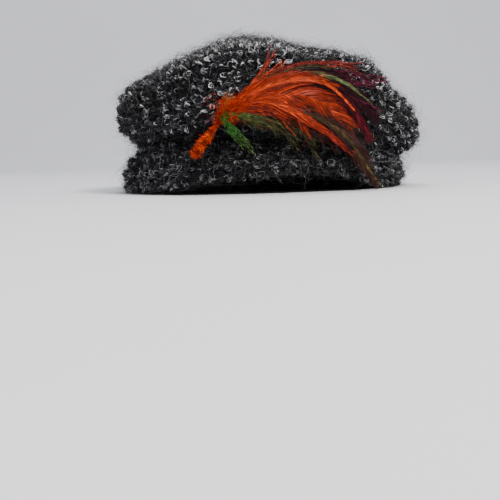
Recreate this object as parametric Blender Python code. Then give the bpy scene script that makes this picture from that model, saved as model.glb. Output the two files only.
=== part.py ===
"""Knitted pillbox hat: a puffed crown, a rolled brim and a feather plume.

Units are metres and +Z is up. The hat rests on the floor on its rolled brim, its
front faces -Y, and the wearer's head goes in from below. A "turn" is the angle
round the hat in degrees, from the front towards +X. An "out" is a distance past
the oval of the head hollow.
"""
import math
from collections import namedtuple

import bmesh
import bpy
from mathutils import Vector

# Head hollow, an oval
HEAD_WIDTH = 0.156
HEAD_DEPTH = 0.186

# Knitted walls and the clearance between pieces
BAND_WALL = 0.0045
CROWN_WALL = 0.0055
CLEARANCE = 0.0003

# Crown
CROWN_HEIGHT = 0.105
CROWN_PUFF = 0.026
UNDER_OUT = 0.95
UNDER_RISE = 0.48
FRONT_DROP = 0.09

# Rolled brim
ROLL_HEIGHT = 0.030
ROLL_THICK = 0.0165
FOLD_GAP = 0.0012
BAND_INSET = 0.0025

# Plume and its stem
BLADE_THICK = 0.0018
BLADE_WIDTH = 0.018
KNOT_RADIUS = 0.0065
STEM_RADIUS = 0.0055
BACKING_THICK = 0.0022
BACKING_HEIGHT = 0.011
BACKING_END = 0.16
BACKING_CLIMB = 0.10
FLY_HEIGHT = 0.006
FEATHER_BRIDGE = 0.012

# Facets
SEGMENTS = 64
SPAN_STEPS = 3
TOP_RINGS = 6
BLADE_STATIONS = 8
BACKING_STATIONS = 7

# Crown sections. Heights are shares of CROWN_HEIGHT and outs are shares of CROWN_PUFF.
Section = namedtuple(
    "Section",
    "turn groove_z groove_out belly_z belly_out crease_z crease_out ridge_z ridge_out edge_z edge_out",
)
CROWN_SECTIONS = [
    Section(-135, 0.29, 0.42, 0.48, 0.96, 0.68, 0.84, 0.75, 0.80, 0.83, 0.42),
    Section(-90, 0.29, 0.44, 0.52, 1.00, 0.60, 0.94, 0.67, 0.76, 0.735, 0.34),
    Section(-65, 0.30, 0.42, 0.50, 1.00, 0.56, 0.92, 0.62, 0.88, 0.69, 0.52),
    Section(-42, 0.32, 0.40, 0.48, 0.98, 0.63, 0.82, 0.69, 0.82, 0.755, 0.50),
    Section(-20, 0.32, 0.38, 0.50, 0.96, 0.72, 0.74, 0.78, 0.74, 0.85, 0.40),
    Section(0, 0.30, 0.38, 0.49, 0.96, 0.76, 0.72, 0.80, 0.70, 0.85, 0.38),
    Section(25, 0.28, 0.38, 0.46, 0.96, 0.69, 0.74, 0.745, 0.74, 0.80, 0.42),
    Section(50, 0.25, 0.42, 0.43, 0.98, 0.62, 0.80, 0.68, 0.76, 0.745, 0.38),
    Section(90, 0.21, 0.50, 0.37, 1.00, 0.50, 0.74, 0.57, 0.54, 0.66, 0.28),
    Section(135, 0.25, 0.44, 0.44, 0.96, 0.64, 0.78, 0.71, 0.72, 0.79, 0.34),
    Section(180, 0.28, 0.42, 0.48, 0.96, 0.70, 0.76, 0.77, 0.74, 0.84, 0.36),
]

# Height of the soft top, seen from the front: place across the crown, then share of CROWN_HEIGHT.
TopLine = namedtuple("TopLine", "across height")
TOP_LINE = [
    TopLine(-1.00, 0.68),
    TopLine(-0.80, 0.755),
    TopLine(-0.60, 0.85),
    TopLine(-0.36, 0.925),
    TopLine(-0.15, 0.955),
    TopLine(0.10, 0.935),
    TopLine(0.42, 0.865),
    TopLine(0.68, 0.76),
    TopLine(0.84, 0.65),
    TopLine(1.00, 0.58),
]

# Soft lumps on the top: place across and deep (front is -1), rise as a share of CROWN_HEIGHT and
# radius as a share of the crown's half width. A negative rise is a hollow.
Lump = namedtuple("Lump", "across deep rise radius")
TOP_LUMPS = [
    Lump(-0.21, -0.20, 0.030, 0.13),
    Lump(-0.14, 0.10, 0.020, 0.12),
    Lump(0.06, -0.34, 0.020, 0.11),
    Lump(0.00, 0.02, -0.022, 0.13),
    Lump(0.24, 0.20, -0.015, 0.14),
    Lump(0.43, -0.28, 0.024, 0.13),
    Lump(0.50, 0.30, 0.020, 0.16),
    Lump(0.68, -0.12, 0.052, 0.12),
    Lump(-0.52, 0.34, 0.022, 0.18),
    Lump(-0.56, -0.36, -0.014, 0.13),
    Lump(-0.12, 0.62, 0.024, 0.20),
    Lump(0.30, 0.66, -0.016, 0.14),
]

# Soft dents pushed into the crown: turn, share of CROWN_HEIGHT, depth as a share of CROWN_PUFF,
# half width in degrees and half height as a share of CROWN_HEIGHT. A negative depth is a lump.
Dent = namedtuple("Dent", "turn height depth half_turn half_height")
DENTS = [
    Dent(-58, 0.66, 0.12, 9, 0.10),
    Dent(-76, 0.72, -0.08, 12, 0.10),
    Dent(-33, 0.60, 0.08, 11, 0.08),
    Dent(-88, 0.42, 0.06, 14, 0.07),
    Dent(38, 0.74, -0.10, 10, 0.08),
    Dent(62, 0.64, 0.10, 10, 0.10),
    Dent(78, 0.48, -0.07, 11, 0.08),
    Dent(112, 0.62, 0.09, 12, 0.12),
    Dent(150, 0.56, 0.08, 14, 0.14),
    Dent(-112, 0.60, 0.10, 12, 0.12),
    Dent(-155, 0.62, 0.08, 15, 0.12),
]

# Rolled brim: lift of its lower edge as a share of ROLL_HEIGHT, and its thickness as a share of ROLL_THICK.
Brim = namedtuple("Brim", "turn lift thick")
BRIM_SECTIONS = [
    Brim(-135, 0.00, 0.98),
    Brim(-90, 0.00, 1.00),
    Brim(-60, 0.00, 1.00),
    Brim(-40, 0.10, 0.98),
    Brim(-20, 0.30, 0.90),
    Brim(0, 0.41, 0.82),
    Brim(18, 0.46, 0.80),
    Brim(34, 0.33, 0.84),
    Brim(50, 0.10, 0.86),
    Brim(66, 0.00, 0.82),
    Brim(90, 0.00, 0.76),
    Brim(135, 0.00, 0.90),
    Brim(180, 0.00, 0.98),
]

# Outline of the roll's section: share of its thickness and share of its height, from the band outwards.
ROLL_OUTLINE = [
    (0.00, 0.24),
    (0.00, 0.77),
    (0.08, 0.93),
    (0.28, 1.00),
    (0.54, 0.96),
    (0.78, 0.79),
    (0.95, 0.57),
    (1.00, 0.38),
    (0.90, 0.19),
    (0.73, 0.07),
    (0.54, 0.00),
    (0.20, 0.00),
    (0.06, 0.07),
]

# Feather blades. Each runs from the knot over bend and sweep to its tip. Places across are shares of the
# crown's half width, heights are shares of CROWN_HEIGHT, width is a share of BLADE_WIDTH and fly a share
# of FLY_HEIGHT, the distance off the hat.
KNOT_ACROSS = -0.26
KNOT_HEIGHT = 0.49
Feather = namedtuple("Feather", "bend_x bend_z sweep_x sweep_z tip_x tip_z width fly")
FEATHERS = [
    Feather(-0.05, 0.66, 0.24, 0.72, 0.60, 0.69, 0.55, 0.10),
    Feather(-0.10, 0.65, -0.03, 0.75, 0.01, 0.83, 0.35, 0.20),
    Feather(0.06, 0.68, 0.40, 0.69, 0.71, 0.62, 0.50, 0.15),
    Feather(0.10, 0.67, 0.42, 0.64, 0.67, 0.48, 0.70, 0.00),
    Feather(0.04, 0.66, 0.38, 0.65, 0.59, 0.51, 0.65, 0.40),
    Feather(0.02, 0.64, 0.32, 0.61, 0.52, 0.46, 0.85, 0.60),
    Feather(0.10, 0.60, 0.43, 0.49, 0.60, 0.29, 1.05, 0.25),
    Feather(0.03, 0.59, 0.31, 0.53, 0.515, 0.34, 1.25, 0.80),
    Feather(0.01, 0.52, 0.26, 0.41, 0.49, 0.205, 1.00, 1.00),
    Feather(0.08, 0.50, 0.38, 0.35, 0.62, 0.065, 0.70, 0.60),
    Feather(0.00, 0.45, 0.21, 0.33, 0.41, 0.20, 0.90, 0.45),
    Feather(-0.08, 0.43, 0.09, 0.34, 0.28, 0.24, 0.90, 0.50),
    Feather(-0.20, 0.41, -0.15, 0.33, -0.105, 0.235, 0.50, 0.70),
    Feather(-0.30, 0.51, -0.34, 0.54, -0.38, 0.56, 0.35, 0.30),
]

# Stem below the knot: place across, height and radius, as shares of the crown's half width, CROWN_HEIGHT
# and STEM_RADIUS.
StemRing = namedtuple("StemRing", "across height radius")
STEM_RINGS = [
    StemRing(-0.300, 0.430, 0.45),
    StemRing(-0.318, 0.400, 0.55),
    StemRing(-0.340, 0.370, 0.62),
    StemRing(-0.365, 0.335, 0.92),
    StemRing(-0.395, 0.300, 1.00),
    StemRing(-0.425, 0.265, 0.90),
    StemRing(-0.450, 0.240, 0.50),
]
STEM_SIDES = 10

YARN_COLOUR = (0.022, 0.023, 0.026)
FEATHER_COLOUR = (0.62, 0.085, 0.015)
STEM_COLOUR = (0.70, 0.13, 0.02)


def clear_scene():
    for item in list(bpy.data.objects):
        bpy.data.objects.remove(item, do_unlink=True)


def material(name, colour, roughness):
    made = bpy.data.materials.new(name)
    made.use_nodes = True
    shader = made.node_tree.nodes["Principled BSDF"]
    shader.inputs["Base Color"].default_value = (*colour, 1.0)
    shader.inputs["Roughness"].default_value = roughness
    shader.inputs["Metallic"].default_value = 0.0
    return made


def solid(name, points, faces, finish, parent):
    """One closed body, facing out, as a named object."""
    shape = bmesh.new()
    corners = [shape.verts.new(point) for point in points]
    for face in faces:
        shape.faces.new([corners[index] for index in face])
    bmesh.ops.recalc_face_normals(shape, faces=shape.faces)
    bmesh.ops.triangulate(shape, faces=shape.faces)
    for face in shape.faces:
        face.smooth = True
    mesh = bpy.data.meshes.new(name)
    shape.to_mesh(mesh)
    shape.free()
    made = bpy.data.objects.new(name, mesh)
    bpy.context.collection.objects.link(made)
    mesh.materials.append(finish)
    made.parent = parent
    return made


def hermite(before, left, right, after, share):
    """Smooth curve through four values at (place, value), between the two in the middle."""
    span = right[0] - left[0]
    slope_left = (right[1] - before[1]) / (right[0] - before[0]) * span
    slope_right = (after[1] - left[1]) / (after[0] - left[0]) * span
    s2 = share * share
    s3 = s2 * share
    return (
        (2 * s3 - 3 * s2 + 1) * left[1]
        + (s3 - 2 * s2 + share) * slope_left
        + (3 * s2 - 2 * s3) * right[1]
        + (s3 - s2) * slope_right
    )


def around(rows, column, turn):
    """Value of a column at a turn, smooth all the way round."""
    places = [(row.turn, getattr(row, column)) for row in rows]
    last = (places[-1][0] - 360, places[-1][1])
    places = [(places[-2][0] - 360, places[-2][1]), last] + places
    places += [(place + 360, value) for place, value in places[2:4]]
    turn = (turn - last[0]) % 360 + last[0]
    for index in range(1, len(places) - 2):
        left, right = places[index], places[index + 1]
        if left[0] <= turn <= right[0]:
            share = (turn - left[0]) / (right[0] - left[0])
            return hermite(places[index - 1], left, right, places[index + 2], share)
    return places[-2][1]


def along(places, place):
    """Value at a place along an open list of (place, value)."""
    first, last = places[0], places[-1]
    place = min(max(place, first[0]), last[0])
    padded = [(2 * first[0] - places[1][0], first[1])] + list(places)
    padded += [(2 * last[0] - places[-2][0], last[1])]
    for index in range(1, len(padded) - 2):
        left, right = padded[index], padded[index + 1]
        if left[0] <= place <= right[0]:
            share = (place - left[0]) / (right[0] - left[0])
            return hermite(padded[index - 1], left, right, padded[index + 2], share)
    return last[1]


def oval(turn, out, height):
    """Point at a turn, a distance out past the head hollow and a height."""
    angle = math.radians(turn)
    return Vector((
        (HEAD_WIDTH / 2 + out) * math.sin(angle),
        -(HEAD_DEPTH / 2 + out) * math.cos(angle),
        height,
    ))


def brim_bottom(turn):
    return max(0.0, around(BRIM_SECTIONS, "lift", turn)) * ROLL_HEIGHT


def groove_height(turn):
    return around(CROWN_SECTIONS, "groove_z", turn) * CROWN_HEIGHT


def dent_depth(turn, height):
    depth = 0.0
    for dent in DENTS:
        sideways = ((turn - dent.turn + 180) % 360 - 180) / dent.half_turn
        upwards = (height / CROWN_HEIGHT - dent.height) / dent.half_height
        depth += dent.depth * CROWN_PUFF * math.exp(-sideways * sideways - upwards * upwards)
    return depth


def crown_profile(turn):
    """The crown's outer side at a turn, as (out, height) from the groove to the top edge."""
    groove = (around(CROWN_SECTIONS, "groove_out", turn) * CROWN_PUFF, groove_height(turn) + FOLD_GAP)
    marks = [(BAND_WALL, groove_height(turn) + FOLD_GAP / 2), groove]
    for line in ("belly", "crease", "ridge", "edge"):
        out = around(CROWN_SECTIONS, line + "_out", turn) * CROWN_PUFF
        height = around(CROWN_SECTIONS, line + "_z", turn) * CROWN_HEIGHT
        if line == "belly":
            marks.append((UNDER_OUT * out, groove[1] + UNDER_RISE * (height - groove[1])))
        marks.append((out, height))
    outs = [(index, mark[0]) for index, mark in enumerate(marks)]
    heights = [(index, mark[1]) for index, mark in enumerate(marks)]
    profile = []
    for step in range((len(marks) - 1) * SPAN_STEPS + 1):
        place = step / SPAN_STEPS
        height = along(heights, place)
        profile.append((along(outs, place) - dent_depth(turn, height), height))
    return profile


def top_height(x, y):
    """Height of the soft top over a place inside its edge."""
    half_width = HEAD_WIDTH / 2 + CROWN_PUFF
    half_depth = HEAD_DEPTH / 2 + CROWN_PUFF
    across, deep = x / half_width, y / half_depth
    share = along([(row.across, row.height) for row in TOP_LINE], across) * (1 - FRONT_DROP * deep ** 2)
    for lump in TOP_LUMPS:
        away = ((across - lump.across) ** 2 + (deep - lump.deep) ** 2) / lump.radius ** 2
        share += lump.rise * math.exp(-away)
    return CROWN_HEIGHT * share


def crown_rings():
    """Rings of the crown's outer face, from the band's lower edge to the last ring before the centre."""
    turns = [360 * index / SEGMENTS for index in range(SEGMENTS)]
    profiles = [crown_profile(turn) for turn in turns]
    rings = [[oval(turn, BAND_WALL, brim_bottom(turn) + BAND_INSET) for turn in turns]]
    for step in range(len(profiles[0])):
        rings.append([oval(turn, *profile[step]) for turn, profile in zip(turns, profiles)])
    edge = rings[-1]
    for index in range(1, TOP_RINGS + 1):
        share = 1 - index / (TOP_RINGS + 1)
        ring = []
        for corner in edge:
            x, y = corner.x * share, corner.y * share
            rise = corner.z - top_height(corner.x, corner.y)
            ring.append(Vector((x, y, top_height(x, y) + rise * share ** 3)))
        rings.append(ring)
    return rings


def ring_normals(rings, centre):
    """Outward normal at each point of an open shell of rings closed by a centre point."""
    normals = []
    for level, ring in enumerate(rings):
        below = rings[max(level - 1, 0)]
        above = rings[level + 1] if level + 1 < len(rings) else [centre] * len(ring)
        row = []
        for index in range(len(ring)):
            sideways = ring[(index + 1) % len(ring)] - ring[index - 1]
            upwards = above[index] - below[index]
            row.append(sideways.cross(upwards).normalized())
        normals.append(row)
    return normals


def crown_shell(finish, parent):
    """Puffed crown with the plain band that runs down inside the brim, hollow inside."""
    outer = crown_rings()
    centre = Vector((0, 0, top_height(0, 0)))
    normals = ring_normals(outer, centre)
    inner = []
    for level, (ring, row) in enumerate(zip(outer, normals)):
        wall = BAND_WALL if level < 2 else CROWN_WALL
        inner.append([point - normal * wall for point, normal in zip(ring, row)])
    turns = [360 * index / SEGMENTS for index in range(SEGMENTS)]
    for level in (0, 1):
        inner[level] = [oval(turn, 0, point.z) for turn, point in zip(turns, outer[level])]
    points = [point for ring in outer for point in ring] + [centre]
    hidden = len(points)
    points += [point for ring in inner for point in ring] + [centre - Vector((0, 0, CROWN_WALL))]
    faces = []
    for start, flip in ((0, False), (hidden, True)):
        for level in range(len(outer)):
            for index in range(SEGMENTS):
                after = (index + 1) % SEGMENTS
                low, low_after = start + level * SEGMENTS + index, start + level * SEGMENTS + after
                if level + 1 < len(outer):
                    face = (low, low_after, low_after + SEGMENTS, low + SEGMENTS)
                else:
                    face = (low, low_after, start + len(outer) * SEGMENTS)
                faces.append(face[::-1] if flip else face)
    for index in range(SEGMENTS):
        after = (index + 1) % SEGMENTS
        faces.append((after, index, hidden + index, hidden + after))
    return solid("crown", points, faces, finish, parent)


def rolled_brim(finish, parent):
    """Padded roll that wraps the band below the groove, flat where it rests."""
    sides = len(ROLL_OUTLINE)
    points = []
    for index in range(SEGMENTS):
        turn = 360 * index / SEGMENTS
        low = brim_bottom(turn)
        tall = groove_height(turn) - FOLD_GAP - low
        thick = around(BRIM_SECTIONS, "thick", turn) * ROLL_THICK
        for out_share, height_share in ROLL_OUTLINE:
            points.append(oval(turn, BAND_WALL + CLEARANCE + out_share * thick, low + height_share * tall))
    faces = []
    for index in range(SEGMENTS):
        start, after = index * sides, (index + 1) % SEGMENTS * sides
        for side in range(sides):
            beside = (side + 1) % sides
            faces.append((start + side, start + beside, after + beside, after + side))
    return solid("rolled_brim", points, faces, finish, parent)


def turn_at(x, out):
    """Turn of the point on the hat's front that lies at x."""
    return math.degrees(math.asin(max(-1.0, min(1.0, x / (HEAD_WIDTH / 2 + out)))))


def hat_out(turn, height):
    """How far the hat stands out near a height, so that a feather passes over its dips."""
    outs = [out for out, level in crown_profile(turn) if abs(level - height) < FEATHER_BRIDGE]
    if height < groove_height(turn) + FEATHER_BRIDGE:
        outs.append(BAND_WALL + around(BRIM_SECTIONS, "thick", turn) * ROLL_THICK)
    return max(outs)


def on_hat(across, height_share, away):
    """Point over the hat's front at a place across, a height and a distance away from the knit."""
    half_width = HEAD_WIDTH / 2 + CROWN_PUFF
    x = across * half_width
    height = height_share * CROWN_HEIGHT
    out = CROWN_PUFF
    for _ in range(4):
        out = hat_out(turn_at(x, out), height) + away
    return oval(turn_at(x, out), out, height)


def outwards(point):
    """Direction away from the hat at a point over its front."""
    half_width = HEAD_WIDTH / 2 + CROWN_PUFF
    half_depth = HEAD_DEPTH / 2 + CROWN_PUFF
    return Vector((point.x / half_width ** 2, point.y / half_depth ** 2, 0)).normalized()


def tube_faces(stations, sides):
    """Faces of a closed tube of rings, with a flat end at each side."""
    faces = []
    for station in range(stations - 1):
        for side in range(sides):
            beside = (side + 1) % sides
            low, high = station * sides, (station + 1) * sides
            faces.append((low + side, low + beside, high + beside, high + side))
    faces.append(tuple(range(sides)))
    faces.append(tuple((stations - 1) * sides + side for side in range(sides)))
    return faces


def blade(row, finish, parent):
    """One flat lock of feather, thick in the middle and drawn to a point at its tip."""
    acrosses = [(0, KNOT_ACROSS), (1 / 3, row.bend_x), (2 / 3, row.sweep_x), (1, row.tip_x)]
    heights = [(0, KNOT_HEIGHT), (1 / 3, row.bend_z), (2 / 3, row.sweep_z), (1, row.tip_z)]
    route = []
    for station in range(BLADE_STATIONS):
        share = station / (BLADE_STATIONS - 1)
        away = CLEARANCE + KNOT_RADIUS * (1 - share) + (BLADE_THICK + row.fly * FLY_HEIGHT) * share
        route.append(on_hat(along(acrosses, share), along(heights, share), away))
    points = []
    for station, place in enumerate(route):
        share = station / (BLADE_STATIONS - 1)
        ahead = route[min(station + 1, BLADE_STATIONS - 1)] - route[max(station - 1, 0)]
        face = outwards(place)
        aside = ahead.normalized().cross(face).normalized()
        spread = math.sin(math.pi * min(0.06 + 0.95 * share, 0.985)) ** 0.75
        half_width = row.width * BLADE_WIDTH / 2 * spread
        half_thick = BLADE_THICK / 2 * (1 - 0.6 * share)
        points += [
            place + aside * half_width,
            place + face * half_thick,
            place - aside * half_width,
            place - face * half_thick,
        ]
    return solid("blade", points, tube_faces(BLADE_STATIONS, 4), finish, parent)


def backing(finish, parent):
    """Curved pad that carries the feathers, seated on the crown."""
    points = []
    for index in range(BACKING_STATIONS):
        share = index / (BACKING_STATIONS - 1)
        across = KNOT_ACROSS + (BACKING_END - KNOT_ACROSS) * share
        middle = KNOT_HEIGHT + BACKING_CLIMB * math.sin(share * math.pi / 2)
        half = BACKING_HEIGHT / 2 * (1 - 0.55 * share)
        for rise, away in ((-1, 0), (1, 0), (1, 1), (-1, 1)):
            place = on_hat(across, middle + rise * half / CROWN_HEIGHT, CLEARANCE + away * BACKING_THICK)
            points.append(place)
    return solid("backing", points, tube_faces(BACKING_STATIONS, 4), finish, parent)


def knot(finish, parent):
    """Round binding where the feathers meet."""
    centre = on_hat(KNOT_ACROSS, KNOT_HEIGHT, CLEARANCE + KNOT_RADIUS * 0.75)
    shape = bmesh.new()
    bmesh.ops.create_uvsphere(shape, u_segments=14, v_segments=8, radius=KNOT_RADIUS)
    points = [centre + Vector((vert.co.x, vert.co.y * 0.75, vert.co.z)) for vert in shape.verts]
    faces = [[vert.index for vert in face.verts] for face in shape.faces]
    shape.free()
    return solid("knot", points, faces, finish, parent)


def fuse(base, others):
    """Join the other solids into the base as one body.

    The exact solver leaves open edges where the blades cross at the knot, so the manifold one does it.
    """
    bpy.context.view_layer.objects.active = base
    for other in others:
        union = base.modifiers.new("union", "BOOLEAN")
        union.operation = "UNION"
        union.solver = "MANIFOLD"
        union.object = other
        bpy.ops.object.modifier_apply(modifier=union.name)
        bpy.data.objects.remove(other, do_unlink=True)


def plume(finish, parent):
    """Feather locks fused to the backing and the knot."""
    base = backing(finish, parent)
    base.name = "plume"
    parts = [knot(finish, parent)] + [blade(row, finish, parent) for row in FEATHERS]
    fuse(base, parts)
    return base


def plume_stem(finish, parent):
    """Fluffy stem that points down from the knot."""
    points = []
    route = [on_hat(row.across, row.height, CLEARANCE + row.radius * STEM_RADIUS) for row in STEM_RINGS]
    for index, (row, place) in enumerate(zip(STEM_RINGS, route)):
        ahead = (route[min(index + 1, len(route) - 1)] - route[max(index - 1, 0)]).normalized()
        face = outwards(place)
        aside = ahead.cross(face).normalized()
        upright = aside.cross(ahead).normalized()
        for side in range(STEM_SIDES):
            angle = 2 * math.pi * side / STEM_SIDES
            reach = row.radius * STEM_RADIUS
            points.append(place + aside * reach * math.cos(angle) + upright * reach * math.sin(angle))
    return solid("plume_stem", points, tube_faces(len(route), STEM_SIDES), finish, parent)


def centre_on_floor(root, pieces):
    """Put the middle of the hat's box over the origin, with its lowest point on the floor."""
    corners = [piece.matrix_world @ vert.co for piece in pieces for vert in piece.data.vertices]
    low = Vector([min(corner[axis] for corner in corners) for axis in range(3)])
    high = Vector([max(corner[axis] for corner in corners) for axis in range(3)])
    root.location = (-(low.x + high.x) / 2, -(low.y + high.y) / 2, -low.z)
    bpy.context.view_layer.update()


def build():
    clear_scene()
    root = bpy.data.objects.new("pillbox_hat", None)
    bpy.context.collection.objects.link(root)
    yarn = material("boucle_yarn", YARN_COLOUR, 0.9)
    feather = material("dyed_feather", FEATHER_COLOUR, 0.6)
    fluff = material("hackle_fluff", STEM_COLOUR, 0.7)
    pieces = [
        crown_shell(yarn, root),
        rolled_brim(yarn, root),
        plume(feather, root),
        plume_stem(fluff, root),
    ]
    bpy.context.view_layer.update()
    centre_on_floor(root, pieces)


build()
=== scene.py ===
"""Looks of the knitted pillbox hat: boucle knit, mohair halo, feather plume, camera and light.

Metres, +Z up, the hat's front faces -Y. A "turn" runs round the hat from its front
towards +X, 0 to 1. A "climb" runs over a knitted face from its first round to its
last, 0 to 1.
"""

import math
from collections import namedtuple

import bpy
import numpy as np
from mathutils import Matrix, Vector
from mathutils.bvhtree import BVHTree


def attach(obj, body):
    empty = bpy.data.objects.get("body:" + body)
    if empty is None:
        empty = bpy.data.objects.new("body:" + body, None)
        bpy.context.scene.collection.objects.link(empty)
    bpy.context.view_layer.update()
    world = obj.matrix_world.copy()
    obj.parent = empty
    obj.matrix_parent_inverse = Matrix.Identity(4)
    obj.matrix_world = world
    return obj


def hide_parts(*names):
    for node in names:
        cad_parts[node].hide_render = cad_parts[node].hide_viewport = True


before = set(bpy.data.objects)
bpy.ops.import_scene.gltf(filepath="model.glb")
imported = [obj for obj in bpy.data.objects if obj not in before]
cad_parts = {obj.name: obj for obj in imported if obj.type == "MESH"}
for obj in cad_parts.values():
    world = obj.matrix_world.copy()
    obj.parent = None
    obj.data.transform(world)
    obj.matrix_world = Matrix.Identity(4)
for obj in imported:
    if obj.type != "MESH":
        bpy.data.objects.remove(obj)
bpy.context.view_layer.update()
rng = np.random.default_rng(11)

# Hat. An "out" is a distance past the oval of the head.
HEAD_HALF = Vector((0.078, 0.093))
HEAD_CENTRE = Vector((-0.0004, 0.004))
CROWN_MIDDLE_OUT = -0.005
CROWN_MIDDLE_HEIGHT = 0.055
ROLL_TOP_OUT = 0.012
ROLL_MIDDLE_OUT = 0.011
BAND_HEIGHTS = np.linspace(0.001, 0.03, 9)
BAND_REACH = 0.03
FLOOR_GAP = 0.0003
SKIN_GAP = 0.0002

# Knit
ROUND_PITCH = 0.008
STITCH_PITCH = 0.0064
STITCH_HEIGHT = 0.0038
RELIEF_MIDDLE = 0.6
UNEVEN_HEIGHT = 0.0008
GRAIN_HEIGHT = 0.00012
KNIT_SINK = 0.0017
INNER_SINK = 0.0005
# How much paler the crown's inner face is drawn than the outer base: partly the yarn's own tone, as the
# inside has no curls on it, and partly painted light in the shaded hollow.
INSIDE_BRIGHTER = 6.0
BAND_CLIMB = 0.17
GRID_TURNS = 360
CURL_RADIUS = 0.0017
CURL_WIDTH = 0.0016
CURL_HEIGHT = 0.0018
CURL_SINK = 0.0006
CURL_ARCH = 0.62
CURLS_PER_PIECE = 3600
CELLS_ACROSS = 64
STRAND_RADIUS = 0.0008
STRAND_WIDTH = 0.00042
STRAND_SPACING = 0.00072
STRAND_SINK = 0.0004
GROUPS_PER_STITCH = 6
STRANDS_PER_GROUP = 3
STRANDS_PER_PIECE = 12000
YARN_STATIONS = 6
HALO_LENGTH = 0.0088
HALO_WIDTH = 0.00014
HALO_STATIONS = 4
CROWN_HAIRS = 22500
BRIM_HAIRS = 9500

# Greys of the fibres, each with the share of the fibres that has it.
CURL_TONES = [(0.002, 0.25), (0.006, 0.28), (0.014, 0.24), (0.032, 0.16), (0.075, 0.07)]
STRAND_TONES = [(0.003, 0.26), (0.012, 0.14), (0.07, 0.22), (0.23, 0.22), (0.6, 0.16)]
HAIR_TONES = [(0.008, 0.35), (0.025, 0.3), (0.07, 0.22), (0.22, 0.13)]

# How much paler the yarn is drawn round the hat, with painted light and shade among it as each row says: the
# middle and the width are in turns off the front.
Tint = namedtuple("Tint", "middle width gain")
# The first row is a painted highlight on the upper front of the crown, where the light falls; the second
# makes the yarn paler round to the right.
CROWN_HIGHLIGHT_AND_PATCH = [Tint(-0.02, 0.08, 2.7), Tint(0.19, 0.08, 0.9)]
# Darker on the left of the crown: partly painted shade, where less light falls, and partly darker yarn.
CROWN_SHADE_AND_DARK_YARN = [Tint(-0.2, 0.08, -0.35)]
# Brim: painted light makes it paler on the left, and it is darker round the right.
BRIM_LIT_LEFT_DARK_RIGHT = [Tint(-0.13, 0.06, 0.8), Tint(0.17, 0.06, -0.45)]

# Waves of the slow noise over a knitted face: round it, over its climb, and their shift.
UNEVEN = [(7, 1.3, 0.1), (11, -2.1, 0.45), (17, 3.2, 0.7), (23, -4.4, 0.25)]
PATCHES = [(29, 6.3, 0.1), (41, -8.1, 0.45), (19, 10.2, 0.7)]

# Dents that are too soft for the solids. A negative depth is a lump.
Dent = namedtuple("Dent", "across half depth lowest")
SOFT_DENTS = [
    Dent(0.024, 0.02, 0.0022, 0.07),
    Dent(0.0655, 0.006, -0.0026, 0.05),
    Dent(0.084, 0.013, 0.0046, 0.05),
]
DENT_FADE = 0.02
BRIM_SHEAR = 0.16
BRIM_SHEAR_HEIGHT = 0.024

# The groove is pinched deeper on the left side: depth and height in the crown, slope in the brim.
PINCH_DEPTH = 0.0028
PINCH_HEIGHT = 0.037
PINCH_SPREAD = 0.006
PINCH_SLOPE = 0.2

# Plume. Its places are shares of VIEW_HALF across and of VIEW_TALL up, on a plane in
# front of the hat, as the camera sees them.
EYE = Vector((-0.015, -0.796, 0.027))
VIEW_PLANE = -0.109
VIEW_HALF = 0.104
VIEW_TALL = 0.105
LINE_POINTS = 80
BARB_PITCH = 0.0006
BARB_WIDTH = 0.00042
BARB_TAPER = np.array([0.8, 1.0, 0.95, 0.8, 0.55, 0.2])
CLUMP_LENGTH = 0.006
STREAKS = 32
SHAFT_RADIUS = 0.0003
SHAFT_STATIONS = 10
SHAFT_SIDES = 4
KNOT_DEPTH = 0.0045
FLUFF_WIDTH = 0.0003
STEM_BARBS = 2600
KNOT_BARBS = 1300
FLUFF_TAPER = np.array([1.2, 1.1, 0.9, 0.7, 0.3])


def linked(name, data):
    """New object in the scene."""
    made = bpy.data.objects.new(name, data)
    bpy.context.scene.collection.objects.link(made)
    return made


def new_object(name, mesh, finish):
    """Piece that rides the hat's body and its material."""
    made = linked(name, mesh)
    mesh.materials.append(finish)
    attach(made, "root")
    return made


def build_mesh(name, points, faces, shades=None, texture_places=None):
    """Mesh of equal-sided faces, with a colour for each point and a texture place for each corner."""
    mesh = bpy.data.meshes.new(name)
    count, sides = faces.shape
    mesh.vertices.add(len(points))
    mesh.vertices.foreach_set("co", points.astype(np.float32).ravel())
    mesh.loops.add(count * sides)
    mesh.loops.foreach_set("vertex_index", faces.astype(np.int32).ravel())
    mesh.polygons.add(count)
    mesh.polygons.foreach_set("loop_start", np.arange(0, count * sides, sides, dtype=np.int32))
    mesh.update(calc_edges=True)
    mesh.polygons.foreach_set("use_smooth", np.ones(count, dtype=bool))
    if shades is not None:
        layer = mesh.color_attributes.new("shade", "FLOAT_COLOR", "POINT")
        rgba = np.ones((len(points), 4), np.float32)
        rgba[:, :3] = shades
        layer.data.foreach_set("color", rgba.ravel())
    if texture_places is not None:
        layer = mesh.uv_layers.new(name="OFBake")
        layer.data.foreach_set("uv", texture_places.astype(np.float32).ravel())
    mesh.validate()
    return mesh


def unit(vectors):
    return vectors / np.maximum(np.linalg.norm(vectors, axis=-1, keepdims=True), 1e-12)


def hump(values, middle, width):
    """Bell over the values, 1 at its middle."""
    return np.exp(-((values - middle) / width) ** 2)


def off_floor(points, gap=FLOOR_GAP):
    """The points, with those under the floor's gap lifted to it."""
    points[..., 2] = np.maximum(points[..., 2], gap)
    return points


def blend(field, left, right, low, high, a, b):
    """Values between four neighbours in a grid, a share a across and b up."""
    return (
        field[left, low] * (1 - a) * (1 - b)
        + field[right, low] * a * (1 - b)
        + field[left, high] * (1 - a) * b
        + field[right, high] * a * b
    )


def varied(low, high, count):
    """A factor for each of many fibres, in a column."""
    return rng.uniform(low, high, (count, 1))


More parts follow.
